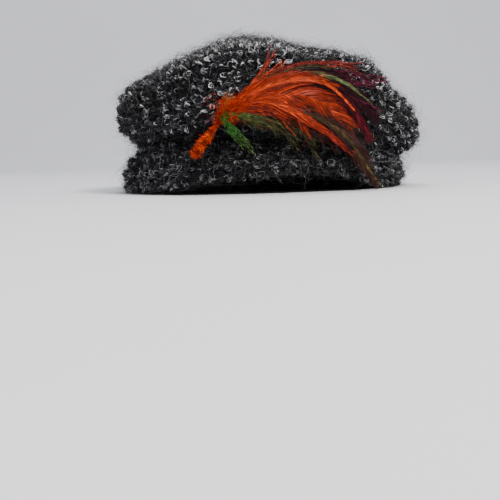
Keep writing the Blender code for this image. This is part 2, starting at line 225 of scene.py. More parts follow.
def picked(choices, count):
    """One of the choices for each of many fibres, drawn by their shares."""
    values, shares = zip(*choices)
    return np.array(values)[rng.choice(len(values), count, p=shares)]


# Reading the shape of the CAD nodes

def tree_of(*nodes):
    """Search tree over the CAD nodes."""
    points, faces = [], []
    for node in nodes:
        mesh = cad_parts[node].data
        start = len(points)
        points += [vert.co.copy() for vert in mesh.vertices]
        faces += [[start + index for index in face.vertices] for face in mesh.polygons]
    return BVHTree.FromPolygons(points, faces)


def section_point(turn, out, height):
    """Point of the section at a turn, a distance out past the head oval and a height."""
    angle = 2 * math.pi * turn
    return Vector((
        HEAD_CENTRE.x + (HEAD_HALF.x + out) * math.sin(angle),
        HEAD_CENTRE.y - (HEAD_HALF.y + out) * math.cos(angle),
        height,
    ))


def hits_between(tree, ends):
    """First point of the node on the way from each start to its end, where there is one."""
    hits = [tree.ray_cast(start, (end - start).normalized(), (end - start).length)[0] for start, end in ends]
    return [spot for spot in hits if spot is not None]


def section_hits(tree, turn, middle, angles, reach=0.14, inwards=True):
    """Points where rays of one section meet a node, seen from its middle (out, height)."""
    centre = section_point(turn, *middle)
    ends = []
    for angle in angles:
        far = section_point(turn, middle[0] + reach * math.cos(angle), middle[1] + reach * math.sin(angle))
        ends.append((far, centre) if inwards else (centre, far))
    return hits_between(tree, ends)


def sampled(line, marks, places):
    """Points of a line at places, from the marks of its own points."""
    return np.stack([np.interp(places, marks, column) for column in line.T], -1)


def resample(points, count, closed=False):
    """Points at equal steps along a line."""
    line = np.array([tuple(point) for point in points])
    if closed:
        line = np.vstack([line, line[:1]])
    steps = np.linalg.norm(np.diff(line, axis=0), axis=1)
    length = np.concatenate([[0], np.cumsum(steps)])
    found = sampled(line, length, np.linspace(0, length[-1], count + closed))
    return found[:-1] if closed else found


def smoothing(width):
    """Steps to both sides in a grid and their weights."""
    steps = np.arange(-3 * width, 3 * width + 1)
    weights = np.exp(-0.5 * (steps / width) ** 2)
    return steps, weights / weights.sum()


def smooth_turns(grid, width):
    """Round off the solids' facets along the turns."""
    steps, weights = smoothing(width)
    return sum(weight * np.roll(grid, step, axis=0) for weight, step in zip(weights, steps))


def smooth_climb(grid, width):
    """Round off the solids' facets along the climb."""
    steps, weights = smoothing(width)
    margin, size = 3 * width, grid.shape[1]
    padded = np.concatenate([grid[:, :1].repeat(margin, 1), grid, grid[:, -1:].repeat(margin, 1)], 1)
    starts = margin + steps
    return sum(weight * padded[:, start:start + size] for weight, start in zip(weights, starts))


def band_hits(tree, turn, inwards):
    """Points up the band that runs down inside the brim, on its outer or its inner face."""
    reach = BAND_REACH if inwards else -BAND_REACH
    return hits_between(tree, [
        [section_point(turn, out, height) for out in (reach, -reach)] for height in BAND_HEIGHTS
    ])


def crown_side_and_top(tree, inwards, angles, top_steps, climb_count):
    """Grid over the crown from the band's foot, over its edge, to the middle of its top."""
    grid = []
    middle = (CROWN_MIDDLE_OUT, CROWN_MIDDLE_HEIGHT)
    for turn in np.arange(GRID_TURNS) / GRID_TURNS:
        line = band_hits(tree, turn, inwards)
        line += section_hits(tree, turn, middle, angles, inwards=inwards)
        edge = line[-1]
        for step in range(1, top_steps + 1):
            share = 1 - step / top_steps
            x = HEAD_CENTRE.x + (edge.x - HEAD_CENTRE.x) * share
            y = HEAD_CENTRE.y + (edge.y - HEAD_CENTRE.y) * share
            start = Vector((x, y, 0.2 if inwards else 0.05))
            line.append(tree.ray_cast(start, Vector((0, 0, -1 if inwards else 1)))[0])
        grid.append(resample(line, climb_count))
    return smooth_climb(smooth_turns(np.array(grid), 5), 1)


def brim_ring(tree, climb_count):
    """Closed grid round the rolled brim, from its inner side under it and up its outside."""
    grid = []
    angles = np.radians(np.linspace(-220, 140, 73)[:-1])
    for turn in np.arange(GRID_TURNS) / GRID_TURNS:
        above = tree.ray_cast(section_point(turn, ROLL_TOP_OUT, 0.1), Vector((0, 0, -1)))[0]
        below = tree.ray_cast(section_point(turn, ROLL_TOP_OUT, -0.1), Vector((0, 0, 1)))[0]
        middle = (ROLL_MIDDLE_OUT, (above.z + below.z) / 2)
        line = section_hits(tree, turn, middle, angles, reach=0.05)
        grid.append(resample(line, climb_count, closed=True))
    return smooth_turns(np.array(grid), 5)


def settled(grid):
    """The crown with its soft dents and lump, and its groove pinched deeper on the left."""
    for dent in SOFT_DENTS:
        spread = hump(grid[..., 0], dent.across, dent.half)
        grid[..., 2] -= dent.depth * spread * np.clip((grid[..., 2] - dent.lowest) / DENT_FADE, 0, 1)
    level = hump(grid[..., 2], PINCH_HEIGHT, PINCH_SPREAD)
    grid[..., 0] += PINCH_DEPTH * level * np.clip(-grid[..., 0] / HEAD_HALF.x, 0, 1) ** 2
    return grid


def open_share(normal):
    """1 where a face looks up or sideways, fading to 0 where it looks down at the floor."""
    return np.clip(1.2 + normal[..., 2] * 1.4, 0, 1)


class Knit:
    """A knitted face: a grid of points over (turn, climb), with its rounds of stitches."""

    def __init__(self, grid, closed=False, sink=KNIT_SINK):
        self.closed = closed
        ahead = np.roll(grid, -1, axis=0) - np.roll(grid, 1, axis=0)
        up = np.roll(grid, -1, axis=1) - np.roll(grid, 1, axis=1) if closed else np.gradient(grid, axis=1)
        self.around = unit(ahead)
        self.normal = unit(np.cross(ahead, up))
        if not closed:
            self.normal[:, -1] = unit(self.normal[:, -3].mean(0))
            self.around[:, -1] = self.around[:, -2]
        self.grid = grid - self.normal * sink * open_share(self.normal)[..., None]
        length = np.linalg.norm(np.diff(grid, axis=1), axis=2).sum(1).mean()
        self.rounds = max(2, int(round(length / ROUND_PITCH)))
        girth = np.linalg.norm(np.roll(grid, -1, axis=0) - grid, axis=2).sum(0)
        places = (np.arange(self.rounds) + 0.5) / self.rounds * (grid.shape[1] - 1)
        self.counts = np.maximum(3, np.round(np.interp(places, np.arange(len(girth)), girth) / STITCH_PITCH))

    def sample(self, field, turn, climb):
        """Value of a grid field at places given as arrays, between its points."""
        turns, climbs = field.shape[:2]
        across = np.mod(turn, 1) * turns
        upward = np.clip(climb, 0, 1) * (climbs - 1)
        left = np.floor(across).astype(int) % turns
        low = np.minimum(np.floor(upward).astype(int), climbs - 2)
        a = (across - np.floor(across))[..., None]
        b = (upward - low)[..., None]
        return blend(field, left, (left + 1) % turns, low, low + 1, a, b)

    def at(self, turn, climb):
        """Points of the grid, and the directions round the hat, up its face and off it."""
        around = unit(self.sample(self.around, turn, climb))
        normal = unit(self.sample(self.normal, turn, climb))
        return self.sample(self.grid, turn, climb), around, np.cross(normal, around), normal

    def stitch_relief(self, turn, climb):
        """Height of the stitch bumps at places, from 0 between stitches to 1 on a stitch."""
        place = np.clip(climb, 0, 0.9999) * self.rounds
        row = np.floor(place).astype(int)
        count = self.counts[row]
        column = np.mod(turn, 1) * count + 0.5 * (row % 2)
        ridge = np.sin(np.pi * (place - row)) ** 0.7
        bead = np.abs(np.sin(np.pi * column)) ** 0.6
        return ridge * (0.35 + 0.65 * bead)

    def stitches(self, first=0.0, last=1.0):
        """Turn and climb of each stitch between two climbs, and how pale its yarn is."""
        turns, climbs = [], []
        for row in range(self.rounds):
            climb = (row + 0.5) / self.rounds
            if first <= climb <= last:
                count = int(self.counts[row])
                turns.append((np.arange(count) + 0.5 - 0.5 * (row % 2)) / count)
                climbs.append(np.full(count, climb))
        turns, climbs = np.concatenate(turns), np.concatenate(climbs)
        patches = 0.6 * slow_noise(turns, climbs, PATCHES)
        return turns, climbs, np.exp(rng.normal(-0.15, 0.55, len(turns)) + patches)


def slow_noise(turn, climb, waves):
    """Gentle uneven value from -1 to 1 over a knitted face."""
    rows = [np.sin(2 * np.pi * (rounds * turn + climbs * climb + shift)) for rounds, climbs, shift in waves]
    return sum(rows) / len(waves)


def bumpy(knit):
    """The knit's grid, pushed out at each stitch and kept off the floor."""
    turns, climbs = knit.grid.shape[:2]
    turn = np.repeat(np.arange(turns)[:, None] / turns, climbs, 1)
    climb = np.repeat(np.arange(climbs)[None, :] / (climbs - 1), turns, 0)
    rise = STITCH_HEIGHT * (knit.stitch_relief(turn, climb) - RELIEF_MIDDLE)
    rise += UNEVEN_HEIGHT * slow_noise(turn, climb, UNEVEN) + rng.normal(0, GRAIN_HEIGHT, rise.shape)
    if not knit.closed:
        rise[:, -1] = rise[:, -2:].mean()
    rise = rise * open_share(knit.normal)
    return off_floor(knit.grid + knit.normal * rise[..., None], SKIN_GAP)


def grid_faces(turns, climbs, start=0, closed=False, flip=False):
    """Quads over a grid that closes round its turns, and over its climb too if closed."""
    index = start + np.arange(turns * climbs).reshape(turns, climbs)
    if closed:
        index = np.concatenate([index, index[:, :1]], 1)
    after = np.roll(index, -1, axis=0)
    quads = np.stack([index[:, :-1], after[:, :-1], after[:, 1:], index[:, 1:]], -1).reshape(-1, 4)
    return quads[:, ::-1] if flip else quads


# Bands of quads, which make the yarn, the hairs and the feathers

FLAT = (math.pi, 0)


def rings_along(paths, radii, facing, angles, arch=1.0):
    """Rings of points at angles round many paths, and arch times as high as wide."""
    ahead = unit(np.gradient(paths, axis=1))
    side = unit(np.cross(ahead, facing))
    over = np.cross(side, ahead)
    radii = radii[..., None]
    rings = [paths + radii * (side * math.cos(angle) + arch * over * math.sin(angle)) for angle in angles]
    return np.stack(rings, 2)


def cells(count, lengths, sides, across=None):
    """Texture places for many equal strips: one small cell of the sheet for each strip."""
    across = across or int(math.ceil(math.sqrt(count)))
    number = np.arange(count)
    corner = np.stack([number % across, number // across], 1)[:, None, None, None, :] / across
    along, beside = np.meshgrid(np.arange(lengths), np.arange(sides), indexing="ij")
    u = np.stack([along, along, along + 1, along + 1], -1) / lengths
    v = np.stack([beside, beside + 1, beside + 1, beside], -1) / sides
    inside = 0.1 + 0.8 * np.stack([u, v], -1)
    return (corner + inside[None] / across).reshape(-1, 2)


def bands(name, rings, colours, finish, closed=False, across=None, gap=FLOOR_GAP):
    """Piece of many equal bands, from their rings of points, (bands, stations, sides, 3)."""
    count, stations, sides = rings.shape[:3]
    index = np.arange(count * stations * sides).reshape(count, stations, sides)
    if closed:
        index = np.concatenate([index, index[..., :1]], 2)
    quads = np.stack([index[:, :-1, :-1], index[:, :-1, 1:], index[:, 1:, 1:], index[:, 1:, :-1]], -1)
    points = off_floor(rings.reshape(-1, 3), gap)
    colours = np.broadcast_to(np.clip(colours, 0, 1), rings.shape).reshape(-1, 3)
    sheet = cells(count, stations - 1, index.shape[2] - 1, across)
    mesh = build_mesh(name, points, quads.reshape(-1, 4), colours, sheet)
    return new_object(name, mesh, finish)


def yarn_pieces(name, rings, colours, most, finish, across=None):
    """Pieces of yarn with an equal share of the bands each, and at most so many."""
    pieces = int(math.ceil(len(rings) / most))
    for number in range(pieces):
        part = slice(number, None, pieces)
        bands(f"{name}_{number + 1}", rings[part], colours[part], finish, across=across)


# Yarn and hairs

def curl_frames(knit, turn, climb, spread, scatter):
    """Place, facing and two directions of the plane of each curl, and how far it is on a stitch."""
    count = len(turn)
    girth = knit.counts[np.minimum((climb * knit.rounds).astype(int), knit.rounds - 1)]
    turn = turn + rng.uniform(-spread, spread, count) / girth
    climb = np.clip(climb + rng.uniform(-spread, spread, count) / knit.rounds, 0.004, 0.996)
    place, around, up, normal = knit.at(turn, climb)
    up = unit(up)
    relief = knit.stitch_relief(turn, climb)
    place = place + normal * (STITCH_HEIGHT * (relief - RELIEF_MIDDLE))[:, None]
    facing = normal + around * rng.normal(0, scatter, (count, 1))
    facing = unit(facing + up * rng.normal(0, scatter, (count, 1)))
    first = unit(np.cross(facing, up))
    return place[:, None], facing[:, None], first[:, None], np.cross(facing, first)[:, None], relief


def arcs(count, stations, radius, sweep):
    """Curled lines in their own plane, tighter towards one end."""
    share = np.linspace(0, 1, stations)[None, :]
    start = varied(0, 2 * math.pi, count)
    turned = start + sweep * share * rng.choice([-1, 1], (count, 1))
    shrink = 1 - varied(0.0, 0.5, count) * share
    wobble = 1 + 0.12 * np.sin(share * 6 + varied(0, 6, count))
    reach = radius * shrink * wobble
    return share, reach * np.cos(turned), reach * np.sin(turned) * varied(0.6, 1.0, count)


def swell(share):
    """Width along a curl, least at both ends and 1 in the middle."""
    return 0.4 + 0.6 * np.sin(np.pi * share) ** 0.5


def curls(name, knit, stitches, finish, bright=1.0):
    """Fat curls of yarn over the stitches: arched bands whose finish draws their strands."""
    turn, climb, pale = stitches
    count = len(turn)
    place, facing, first, second, relief = curl_frames(knit, turn, climb, 0.35, 0.38)
    radius = CURL_RADIUS * varied(0.55, 1.35, count)
    share, x, y = arcs(count, YARN_STATIONS, radius, varied(2.2, 5.4, count))
    lift = CURL_HEIGHT * varied(0.5, 1.1, count) * np.sin(np.pi * share) ** 0.7 - CURL_SINK
    path = place + x[..., None] * first + y[..., None] * second + lift[..., None] * facing
    half = CURL_WIDTH / 2 * varied(0.7, 1.25, count) * swell(share)
    rings = rings_along(path, half, facing, np.radians([-10, 90, 190]), CURL_ARCH)
    tone = picked(CURL_TONES, count) * pale * rng.uniform(0.7, 1.4, count)
    # Painted shade: curls are drawn darker in the hollows between stitches and towards their ends, where they
    # dive into the knit.
    tone = tone * (0.06 + 1.2 * relief ** 3) * bright
    grey = tone[:, None] * (0.55 + 0.45 * np.sin(np.pi * share))
    colours = grey[..., None, None] * np.array([1.0, 0.99, 1.04])
    yarn_pieces(name, rings, colours, CURLS_PER_PIECE, finish, CELLS_ACROSS)


def strands(name, knit, stitches, finish, bright, palest):
    """Single glossy strands that curl over the stitches in small groups, side by side."""
    turn, climb, pale = (np.repeat(column, GROUPS_PER_STITCH) for column in stitches)
    count = len(turn)
    place, facing, first, second, relief = curl_frames(knit, turn, climb, 0.36, 0.35)
    radius = STRAND_RADIUS * varied(0.7, 2.2, count)
    share, x, y = arcs(count, YARN_STATIONS, radius, varied(1.0, 3.4, count))
    top = varied(0, 1, count)
    lift = CURL_HEIGHT * (0.4 + 1.2 * top) * np.sin(np.pi * share) ** 0.5 - STRAND_SINK
    # Painted shade: strands are drawn darker in the hollows between stitches and the lower they lie, and
    # paler the higher they stand.
    tone = pale * rng.uniform(0.6, 1.3, count) * (0.03 + 1.5 * relief ** 4)
    tone = tone * (0.45 + 1.1 * top[:, 0]) * bright
    paths, widths, shades = [], [], []
    for strand in range(STRANDS_PER_GROUP):
        grow = 1 + strand * varied(0.8, 1.2, count) * STRAND_SPACING / radius
        path = place + (x * grow)[..., None] * first + (y * grow)[..., None] * second
        path = path + (lift + rng.normal(0, 0.0003, (count, 1)))[..., None] * facing
        paths.append(path + rng.normal(0, 0.0001, path.shape) + rng.normal(0, 0.0003, (count, 1, 3)))
        thick = STRAND_WIDTH * varied(0.6, 1.4, count)
        widths.append(thick * swell(share))
        shades.append(tone * picked(STRAND_TONES, count))
    paths, widths, shades = (np.concatenate(column) for column in (paths, widths, shades))
    facing = unit(np.tile(facing, (STRANDS_PER_GROUP, 1, 1)) + rng.normal(0, 0.25, (len(paths), 1, 3)))
    rings = rings_along(paths, widths / 2, facing, FLAT)
    colours = np.clip(shades[:, None, None, None] * np.array([1.0, 0.99, 1.02]), 0, palest)
    yarn_pieces(name, rings, colours, STRANDS_PER_PIECE, finish)


def halo(name, knits, finish):
    """Fine mohair hairs that stand off the knit."""
    paths, facings = [], []
    for knit, count, first, last in knits:
        turn = rng.uniform(0, 1, count)
        climb = rng.uniform(first, last, count)
        place, around, up, normal = knit.at(turn, climb)
        angle = varied(0, 2 * math.pi, count)
        along = around * np.cos(angle) + up * np.sin(angle)
        curl = np.cross(normal, along) * rng.normal(0, 0.8, (count, 1))
        length = HALO_LENGTH * np.minimum(rng.gamma(2.2, 0.42, (count, 1)), 1.7)
        stand = varied(0.15, 1.2, count)
        steps = []
        for step in np.linspace(0, 1, HALO_STATIONS):
            reach = along * step + normal * stand * step * (1.1 - 0.5 * step) + curl * step * step
            steps.append(place + normal * 0.0008 + length * reach * 0.8)
        paths.append(np.stack(steps, 1))
        facings.append(unit(normal + rng.normal(0, 0.8, (count, 3))))
    paths = np.concatenate(paths)
    facings = np.concatenate(facings)
    widths = HALO_WIDTH * varied(0.6, 1.4, len(paths)) * np.linspace(1.0, 0.35, HALO_STATIONS)
    rings = rings_along(paths, widths / 2, facings[:, None], FLAT)
    colours = picked(HAIR_TONES, len(paths))[:, None, None, None] * np.array([1.0, 1.0, 1.05])
    bands(name, rings, colours, finish, gap=SKIN_GAP)


# Plume

# Colours of each kind of feather: its root, middle and tip along the shaft, and its outer edge.
Dye = namedtuple("Dye", "root middle tip edge")
DYES = {kind: Dye(*colours) for kind, colours in {
    "orange": ((0.3, 0.016, 0.003), (0.42, 0.034, 0.005), (0.42, 0.044, 0.009), (0.24, 0.016, 0.003)),
    "amber": ((0.32, 0.02, 0.003), (0.56, 0.062, 0.009), (0.56, 0.07, 0.013), (0.36, 0.03, 0.005)),
    # The next dye is a darker copy of the orange: painted shade for orange feathers set beneath others.
    "shaded_orange": ((0.22, 0.011, 0.003), (0.26, 0.018, 0.004), (0.28, 0.026, 0.006), (0.08, 0.007, 0.003)),
    "orange_red": ((0.32, 0.02, 0.003), (0.56, 0.055, 0.008), (0.2, 0.012, 0.012), (0.26, 0.014, 0.004)),
    "red": ((0.3, 0.02, 0.004), (0.22, 0.014, 0.006), (0.24, 0.024, 0.018), (0.1, 0.007, 0.005)),
    "burgundy": ((0.08, 0.004, 0.003), (0.03, 0.002, 0.005), (0.17, 0.012, 0.04), (0.045, 0.004, 0.012)),
    "crimson": ((0.08, 0.004, 0.002), (0.04, 0.001, 0.003), (0.15, 0.003, 0.012), (0.02, 0.001, 0.002)),
    "maroon": ((0.06, 0.004, 0.002), (0.018, 0.001, 0.003), (0.03, 0.001, 0.006), (0.012, 0.001, 0.002)),
    "green": ((0.1, 0.05, 0.008), (0.12, 0.1, 0.035), (0.2, 0.29, 0.11), (0.09, 0.1, 0.035)),
    "tuft": ((0.02, 0.2, 0.015), (0.03, 0.16, 0.018), (0.18, 0.22, 0.08), (0.05, 0.12, 0.025)),
    "olive": ((0.05, 0.014, 0.005), (0.07, 0.036, 0.014), (0.19, 0.2, 0.06), (0.08, 0.055, 0.02)),
    "umber": ((0.06, 0.012, 0.004), (0.07, 0.022, 0.012), (0.05, 0.018, 0.011), (0.036, 0.01, 0.008)),
    "moss": ((0.06, 0.13, 0.015), (0.08, 0.095, 0.024), (0.05, 0.045, 0.016), (0.05, 0.035, 0.012)),
    "brown": ((0.12, 0.02, 0.005), (0.065, 0.02, 0.009), (0.03, 0.012, 0.007), (0.018, 0.006, 0.004)),
    "rust": ((0.18, 0.014, 0.004), (0.1, 0.014, 0.009), (0.08, 0.014, 0.011), (0.04, 0.007, 0.006)),
}.items()}
KNOT = (-0.25, 0.475)

# Feathers in the order of their layers, lowest first. Each family's shafts run from the knot over
# a bend and a sweep to a tip, and spread by a little. width is half the vane's and fly is the height
# over the knit, in metres. lean is the barbs' angle to the shaft, point the taper of the vane and
# barbs the share of them that is left.
Family = namedtuple(
    "Family", "dye count bend_x bend_z sweep_x sweep_z tip_x tip_z width fly spread lean point barbs",
)
LOWER_FEATHERS = [Family(*row) for row in (
    ("burgundy", 3, 0.14, 0.69, 0.45, 0.675, 0.71, 0.64, 0.002, 0.001, 0.022, 0.2, 0.5, 0.35),
    ("burgundy", 3, 0.15, 0.69, 0.44, 0.63, 0.66, 0.56, 0.0024, 0.0014, 0.022, 0.2, 0.6, 0.35),
    ("burgundy", 2, 0.16, 0.67, 0.45, 0.58, 0.65, 0.47, 0.0036, 0.0016, 0.018, 0.24, 0.6, 0.5),
    ("maroon", 4, 0.19, 0.68, 0.46, 0.57, 0.615, 0.4, 0.007, 0.0018, 0.012, 0.2, 0.6, 1.0),
    ("rust", 3, -0.02, 0.45, 0.15, 0.385, 0.28, 0.29, 0.006, 0.0014, 0.03, 0.45, 0.4, 0.35),
    ("moss", 2, -0.13, 0.45, -0.01, 0.415, 0.1, 0.355, 0.0055, 0.0018, 0.028, 0.45, 0.4, 0.35),
    ("brown", 4, 0.0, 0.49, 0.3, 0.425, 0.54, 0.26, 0.0065, 0.0022, 0.026, 0.26, 0.6, 0.7),
    ("rust", 6, 0.06, 0.465, 0.23, 0.385, 0.4, 0.255, 0.0046, 0.0026, 0.03, 0.4, 0.4, 0.24),
    ("brown", 4, 0.0, 0.455, 0.18, 0.38, 0.32, 0.265, 0.0044, 0.0028, 0.03, 0.4, 0.4, 0.22),
    ("moss", 5, 0.0, 0.455, 0.14, 0.385, 0.26, 0.28, 0.0046, 0.0028, 0.026, 0.4, 0.4, 0.26),
    ("moss", 6, -0.08, 0.45, 0.04, 0.4, 0.14, 0.3, 0.0046, 0.003, 0.026, 0.4, 0.4, 0.26),
    ("crimson", 6, 0.17, 0.655, 0.43, 0.52, 0.585, 0.29, 0.0054, 0.0028, 0.009, 0.2, 0.6, 1.0),
    ("red", 3, 0.02, 0.685, 0.33, 0.735, 0.54, 0.685, 0.003, 0.002, 0.016, 0.2, 0.5, 0.3),
    ("moss", 2, 0.02, 0.67, 0.24, 0.715, 0.42, 0.69, 0.0024, 0.0022, 0.012, 0.2, 0.5, 0.4),
    ("umber", 3, 0.05, 0.5, 0.38, 0.368, 0.625, 0.02, 0.0078, 0.004, 0.006, 0.24, 0.6, 1.0),
    ("olive", 2, 0.03, 0.49, 0.38, 0.358, 0.627, 0.016, 0.002, 0.0048, 0.003, 0.16, 0.6, 1.0),
    ("green", 3, 0.13, 0.668, 0.39, 0.638, 0.59, 0.5, 0.0026, 0.003, 0.003, 0.12, 0.8, 1.0),
)]
UPPER_FEATHERS = [Family(*row) for row in (
    ("red", 4, -0.13, 0.59, -0.04, 0.71, 0.01, 0.835, 0.0008, 0.003, 0.014, 0.18, 0.5, 0.6),
    ("moss", 4, -0.13, 0.59, -0.05, 0.69, 0.0, 0.77, 0.0007, 0.003, 0.012, 0.18, 0.5, 0.6),
    ("orange", 6, -0.11, 0.605, -0.01, 0.695, 0.075, 0.785, 0.0009, 0.0032, 0.022, 0.18, 0.5, 0.7),
    ("red", 4, -0.06, 0.635, 0.1, 0.7, 0.27, 0.735, 0.0008, 0.0034, 0.018, 0.18, 0.5, 0.4),
    ("orange", 7, -0.09, 0.605, 0.12, 0.664, 0.33, 0.676, 0.0032, 0.0042, 0.01, 0.16, 0.6, 1.0),
    ("orange", 4, 0.0, 0.635, 0.2, 0.655, 0.4, 0.61, 0.0034, 0.0046, 0.009, 0.15, 0.6, 1.0),
    ("amber", 3, 0.03, 0.63, 0.31, 0.625, 0.505, 0.44, 0.0022, 0.0052, 0.004, 0.12, 0.7, 1.0),
    ("shaded_orange", 4, -0.05, 0.59, 0.12, 0.59, 0.3, 0.54, 0.0046, 0.0042, 0.026, 0.18, 0.6, 0.9),
    ("orange", 6, -0.05, 0.58, 0.12, 0.58, 0.3, 0.52, 0.004, 0.005, 0.026, 0.16, 0.6, 0.9),
    ("shaded_orange", 4, -0.05, 0.52, 0.1, 0.48, 0.26, 0.41, 0.0046, 0.0052, 0.022, 0.2, 0.6, 0.9),
    ("orange", 3, -0.02, 0.56, 0.245, 0.545, 0.472, 0.35, 0.0086, 0.006, 0.004, 0.36, 0.4, 0.8),
    ("orange", 6, -0.07, 0.545, 0.09, 0.52, 0.29, 0.415, 0.0044, 0.0062, 0.026, 0.18, 0.6, 0.9),
    ("orange_red", 4, -0.03, 0.525, 0.2, 0.43, 0.49, 0.207, 0.0028, 0.0068, 0.004, 0.14, 0.7, 1.0),
    ("shaded_orange", 8, -0.1, 0.48, 0.03, 0.445, 0.14, 0.385, 0.0016, 0.0062, 0.02, 0.3, 0.5, 0.5),
    ("moss", 5, -0.13, 0.455, -0.03, 0.415, 0.07, 0.335, 0.0016, 0.0066, 0.022, 0.3, 0.4, 0.4),
    ("tuft", 19, -0.268, 0.435, -0.218, 0.366, -0.125, 0.262, 0.0002, 0.0058, 0.02, 0.1, 0.4, 0.3),
    ("orange", 9, -0.275, 0.51, -0.31, 0.525, -0.35, 0.54, 0.0002, 0.0035, 0.026, 0.14, 0.5, 0.3),
    ("shaded_orange", 7, -0.275, 0.475, -0.32, 0.46, -0.365, 0.445, 0.0002, 0.0035, 0.02, 0.14, 0.5, 0.3),
    ("tuft", 7, -0.25, 0.51, -0.245, 0.55, -0.235, 0.59, 0.0002, 0.0035, 0.014, 0.14, 0.5, 0.3),
)]


def grid_place(values, marks):
    """The mark before each value in an even row of marks, and the share of the way to the next."""
    place = np.clip((values - marks[0]) / (marks[1] - marks[0]), 0, len(marks) - 1.001)
    before = np.floor(place).astype(int)
    return before, place - before


class HatFront:
    """Where a line of sight from the camera's place meets the front of the knit."""

    def __init__(self, tree):
        self.across = np.linspace(-0.62, 0.98, 129)
        self.height = np.linspace(-0.02, 1.0, 103)
        reach = np.full((len(self.across), len(self.height)), np.nan)
        for i, across in enumerate(self.across):
            for j, height in enumerate(self.height):
                aim = Vector((across * VIEW_HALF, VIEW_PLANE, height * VIEW_TALL)) - EYE
                spot = tree.ray_cast(EYE, aim.normalized())[0]
                if spot is not None and spot.y < 0:
                    reach[i, j] = (spot - EYE).length
        for row in reach:
            good = np.isfinite(row)
            if good.any():
                row[~good] = np.interp(np.flatnonzero(~good), np.flatnonzero(good), row[good])
            else:
                row[:] = np.nanmax(reach)
        bridged = reach.copy()
        for axis, width in ((1, 8), (0, 6)):
            before = bridged.copy()
            for step in range(-width, width + 1):
                bridged = np.minimum(bridged, np.roll(before, step, axis=axis) + 0.00003 * step * step)
        self.reach = bridged

    def at(self, across, height, away):
        """Points in front of the knit, nearer to the camera by a distance."""
        left, a = grid_place(across, self.across)
        low, b = grid_place(height, self.height)
        reach = blend(self.reach, left, left + 1, low, low + 1, a, b)
        aim = np.stack([across * VIEW_HALF, np.full_like(across, VIEW_PLANE), height * VIEW_TALL], -1)
        aim = unit(aim - np.array(EYE))
        return np.array(EYE) + aim * (reach - away)[..., None]


def curve_through(marks, count):
    """Smooth line through a few marks."""
    marks = np.array(marks, float)
    padded = np.vstack([2 * marks[0] - marks[1], marks, 2 * marks[-1] - marks[-2]])
    spans = len(marks) - 1
    places = np.linspace(0, spans, count)
    span = np.minimum(places.astype(int), spans - 1)
    t = (places - span)[:, None]
    p0, p1, p2, p3 = (padded[span + offset] for offset in range(4))
    bend = 2 * p0 - 5 * p1 + 4 * p2 - p3
    return 0.5 * (2 * p1 + (p2 - p0) * t + bend * t ** 2 + (3 * p1 - p0 - 3 * p2 + p3) * t ** 3)


def dyed(dye, along, out):
    """Colour at a share along a feather and a share of the way out to its edge."""
    root, middle, tip, edge = (np.array(colour) for colour in dye)
    along = np.clip(along, 0, 1)[..., None]
    out = out[..., None]
    colour = root + (middle - root) * np.clip(along / 0.4, 0, 1)
    colour = colour + (tip - middle) * np.clip((along - 0.5) / 0.5, 0, 1)
    return colour + (edge - colour) * out * 0.85


